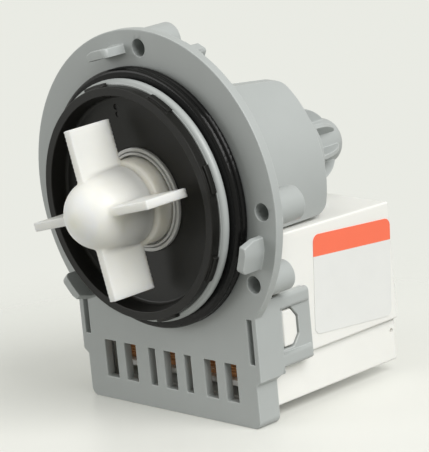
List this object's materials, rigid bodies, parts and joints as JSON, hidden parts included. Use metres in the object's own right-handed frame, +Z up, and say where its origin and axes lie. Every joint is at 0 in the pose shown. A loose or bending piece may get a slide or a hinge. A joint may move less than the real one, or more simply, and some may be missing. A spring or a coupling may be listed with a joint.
{
  "type": "washer drain pump",
  "caption": "Washing machine drain pump: flanged grey motor body with a sealed collar, open white impeller, coil cover with snap loops and rear terminals.",
  "frame": {"origin": "centre of the flange's front face, on the shaft's axis", "axes": "+Y runs back along the shaft from the impeller to the motor's end, +Z up from the base, +X to the right seen from the impeller's side"},
  "size_m": [0.082, 0.0893, 0.0957],
  "materials": {
    "body_plastic": "satin moulded grey plastic",
    "black_plastic": "fine moulded black plastic",
    "cap_plastic": "satin pale grey plastic",
    "seal_rubber": "smooth black rubber",
    "impeller_plastic": "milky satin plastic",
    "shaft_steel": "ground steel",
    "magnet_ferrite": "sintered ferrite",
    "bush_bronze": "sintered bronze",
    "lamination_steel": "stacked sheet steel",
    "copper_wire": "varnished copper wire",
    "terminal_brass": "tinned brass",
    "cover_plastic": "satin moulded white plastic",
    "label_film": "printed film label"
  },
  "bodies": {
    "body": {"pump_body": "body_plastic", "front_plate": "black_plastic", "bearing_cap": "cap_plastic", "seal_ring": "seal_rubber", "shaft_seal": "seal_rubber", "front_bush": "bush_bronze", "front_bush_holder": "seal_rubber", "bush_retainer": "black_plastic", "rear_bush": "bush_bronze", "rear_bush_holder": "seal_rubber", "stator_pole_left": "lamination_steel", "stator_pole_right": "lamination_steel", "stator_yoke": "lamination_steel", "bobbin_left": "cover_plastic", "bobbin_right": "cover_plastic", "coil_core_left": "copper_wire", "coil_core_right": "copper_wire", "winding_left": "copper_wire", "winding_right": "copper_wire", "thermal_cutout": "black_plastic", "lead_wires": "copper_wire", "terminal_block": "cover_plastic", "terminal_left": "terminal_brass", "terminal_right": "terminal_brass", "coil_cover": "cover_plastic", "rating_label": "label_film"},
    "rotor": {"shaft": "shaft_steel", "rotor_magnet": "magnet_ferrite", "rotor_sleeve": "black_plastic", "drive_dog": "black_plastic", "front_thrust_washer": "impeller_plastic", "rear_thrust_washer": "impeller_plastic"},
    "impeller": {"impeller": "impeller_plastic", "clutch_cover": "impeller_plastic"}
  },
  "joints": [
    {"name": "rotor_spin", "type": "hinge", "parent": "body", "child": "rotor", "pos_m": [0, 0, 0], "axis": [0, 1, 0], "continuous": true},
    {"name": "impeller_play", "type": "hinge", "parent": "rotor", "child": "impeller", "pos_m": [0, 0, 0], "axis": [0, 1, 0], "range_deg": [-116, 116]}
  ]
}
